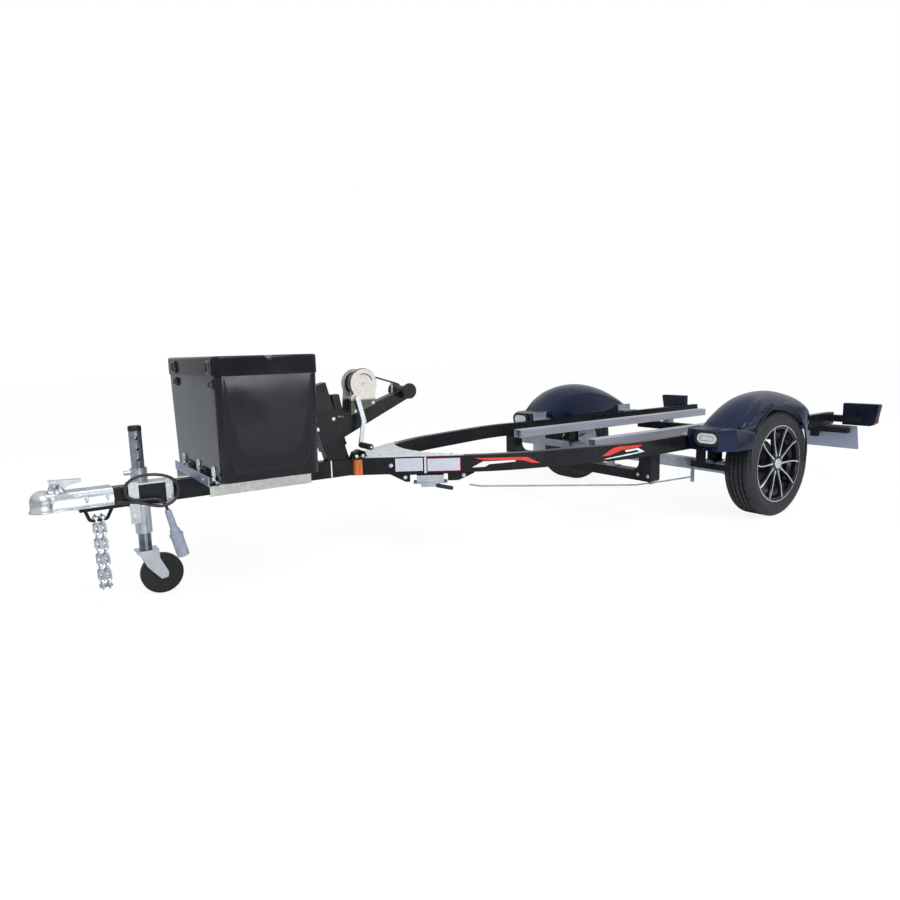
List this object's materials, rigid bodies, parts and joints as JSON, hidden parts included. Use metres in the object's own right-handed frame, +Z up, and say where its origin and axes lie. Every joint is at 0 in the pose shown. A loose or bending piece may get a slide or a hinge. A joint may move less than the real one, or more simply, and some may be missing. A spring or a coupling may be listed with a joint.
{
  "type": "single-axle trailer for a personal watercraft",
  "caption": "Small braked boat trailer with a Y-shaped frame, storage box, winch post with bow roller, two bunks, fenders, jack with caster and spoked wheels.",
  "frame": {"origin": "on the ground under the middle of the overall length and width", "axes": "+X forward to the coupler, +Y to the left side, +Z up"},
  "size_m": [4.42, 1.624, 0.919],
  "materials": {
    "frame_black": "gloss black powder coat",
    "zinc": "bright zinc plate",
    "galvanised": "hot-dip galvanised, dull",
    "chain_steel": "zinc plated",
    "tyre": "matt rubber",
    "rim_machined": "machined faces over gloss black",
    "fender_black": "gloss",
    "lamp_clear": "clear lens over white reflector",
    "bunk_grey": "satin",
    "box_plastic": "gloss",
    "roller_rubber": "smooth",
    "grip_black": "smooth",
    "strap_web": "woven webbing",
    "lead_jacket": "smooth PVC jacket",
    "plug_grey": "moulded",
    "marker_orange": "amber lens",
    "lamp_black": "moulded",
    "plate_grey": "satin"
  },
  "bodies": {
    "frame": {"axle_braces": "galvanised", "axle_hangers": "frame_black", "axle_tube": "galvanised", "box_body": "box_plastic", "box_tray": "galvanised", "brake_rod": "galvanised", "bunk_left": "bunk_grey", "bunk_posts": "galvanised", "bunk_right": "bunk_grey", "chain_hook": "frame_black", "coupler_body": "zinc", "coupler_lever": "zinc", "drawbar": "frame_black", "drop_beam": "frame_black", "fender_brackets": "zinc", "fender_left": "fender_black", "fender_right": "fender_black", "fender_stays": "frame_black", "front_lamps": "lamp_clear", "gusset_lower": "frame_black", "gusset_top": "zinc", "jack_clamp": "zinc", "lamp_arms": "frame_black", "lead": "lead_jacket", "lead_grommet": "grip_black", "lead_plug": "plug_grey", "number_plate": "plate_grey", "parking_brake": "zinc", "parking_brake_grip": "grip_black", "plate_bar": "frame_black", "rear_beam": "frame_black", "safety_chain": "chain_steel", "side_markers": "marker_orange", "side_rail_left": "frame_black", "side_rail_right": "frame_black", "strap_hook": "zinc", "suspension_arm_left": "galvanised", "suspension_arm_right": "galvanised", "tail_lamps": "lamp_black", "winch_boom": "frame_black", "winch_frame": "zinc", "winch_post": "frame_black", "winch_strap": "strap_web"},
    "wheel_left": {"tyre_left": "tyre", "rim_left": "rim_machined", "hub_drum_left": "galvanised"},
    "wheel_right": {"tyre_right": "tyre", "rim_right": "rim_machined", "hub_drum_right": "galvanised"},
    "lid": {"box_lid": "box_plastic"},
    "jack": {"jack_leg": "zinc", "jack_cap": "grip_black"},
    "caster_swivel": {"caster_fork": "zinc"},
    "caster": {"caster_wheel": "roller_rubber"},
    "drum": {"winch_drum": "zinc"},
    "crank": {"winch_crank": "zinc", "winch_grip": "grip_black"},
    "roller": {"bow_roller": "roller_rubber"}
  },
  "joints": [
    {"name": "wheel_left_spin", "type": "hinge", "parent": "frame", "child": "wheel_left", "pos_m": [-1.1035, 0.713, 0.281], "axis": [0, 1, 0], "continuous": true},
    {"name": "wheel_right_spin", "type": "hinge", "parent": "frame", "child": "wheel_right", "pos_m": [-1.1035, -0.713, 0.281], "axis": [0, 1, 0], "continuous": true},
    {"name": "lid_hinge", "type": "hinge", "parent": "frame", "child": "lid", "pos_m": [1.2655, 0, 0.85], "axis": [0, -1, 0], "range_deg": [0, 85]},
    {"name": "jack_slide", "type": "slide", "parent": "frame", "child": "jack", "axis": [0, 0, 1], "range_m": [-0.12, 0.045]},
    {"name": "caster_swivel", "type": "hinge", "parent": "jack", "child": "caster_swivel", "pos_m": [1.8415, -0.088, 0.18], "axis": [0, 0, 1], "continuous": true},
    {"name": "caster_spin", "type": "hinge", "parent": "caster_swivel", "child": "caster", "pos_m": [1.7915, -0.088, 0.079], "axis": [0, 1, 0], "continuous": true},
    {"name": "drum_spin", "type": "hinge", "parent": "frame", "child": "drum", "pos_m": [0.9375, 0, 0.785], "axis": [0, 1, 0], "continuous": true},
    {"name": "crank_spin", "type": "hinge", "parent": "frame", "child": "crank", "pos_m": [0.97645, 0, 0.72208], "axis": [0, 1, 0], "continuous": true},
    {"name": "roller_spin", "type": "hinge", "parent": "frame", "child": "roller", "pos_m": [0.7145, 0, 0.741], "axis": [0, 1, 0], "continuous": true}
  ],
  "couplings": [
    {"joint": "crank_spin", "follows": "drum_spin", "ratio": -3.6667}
  ]
}
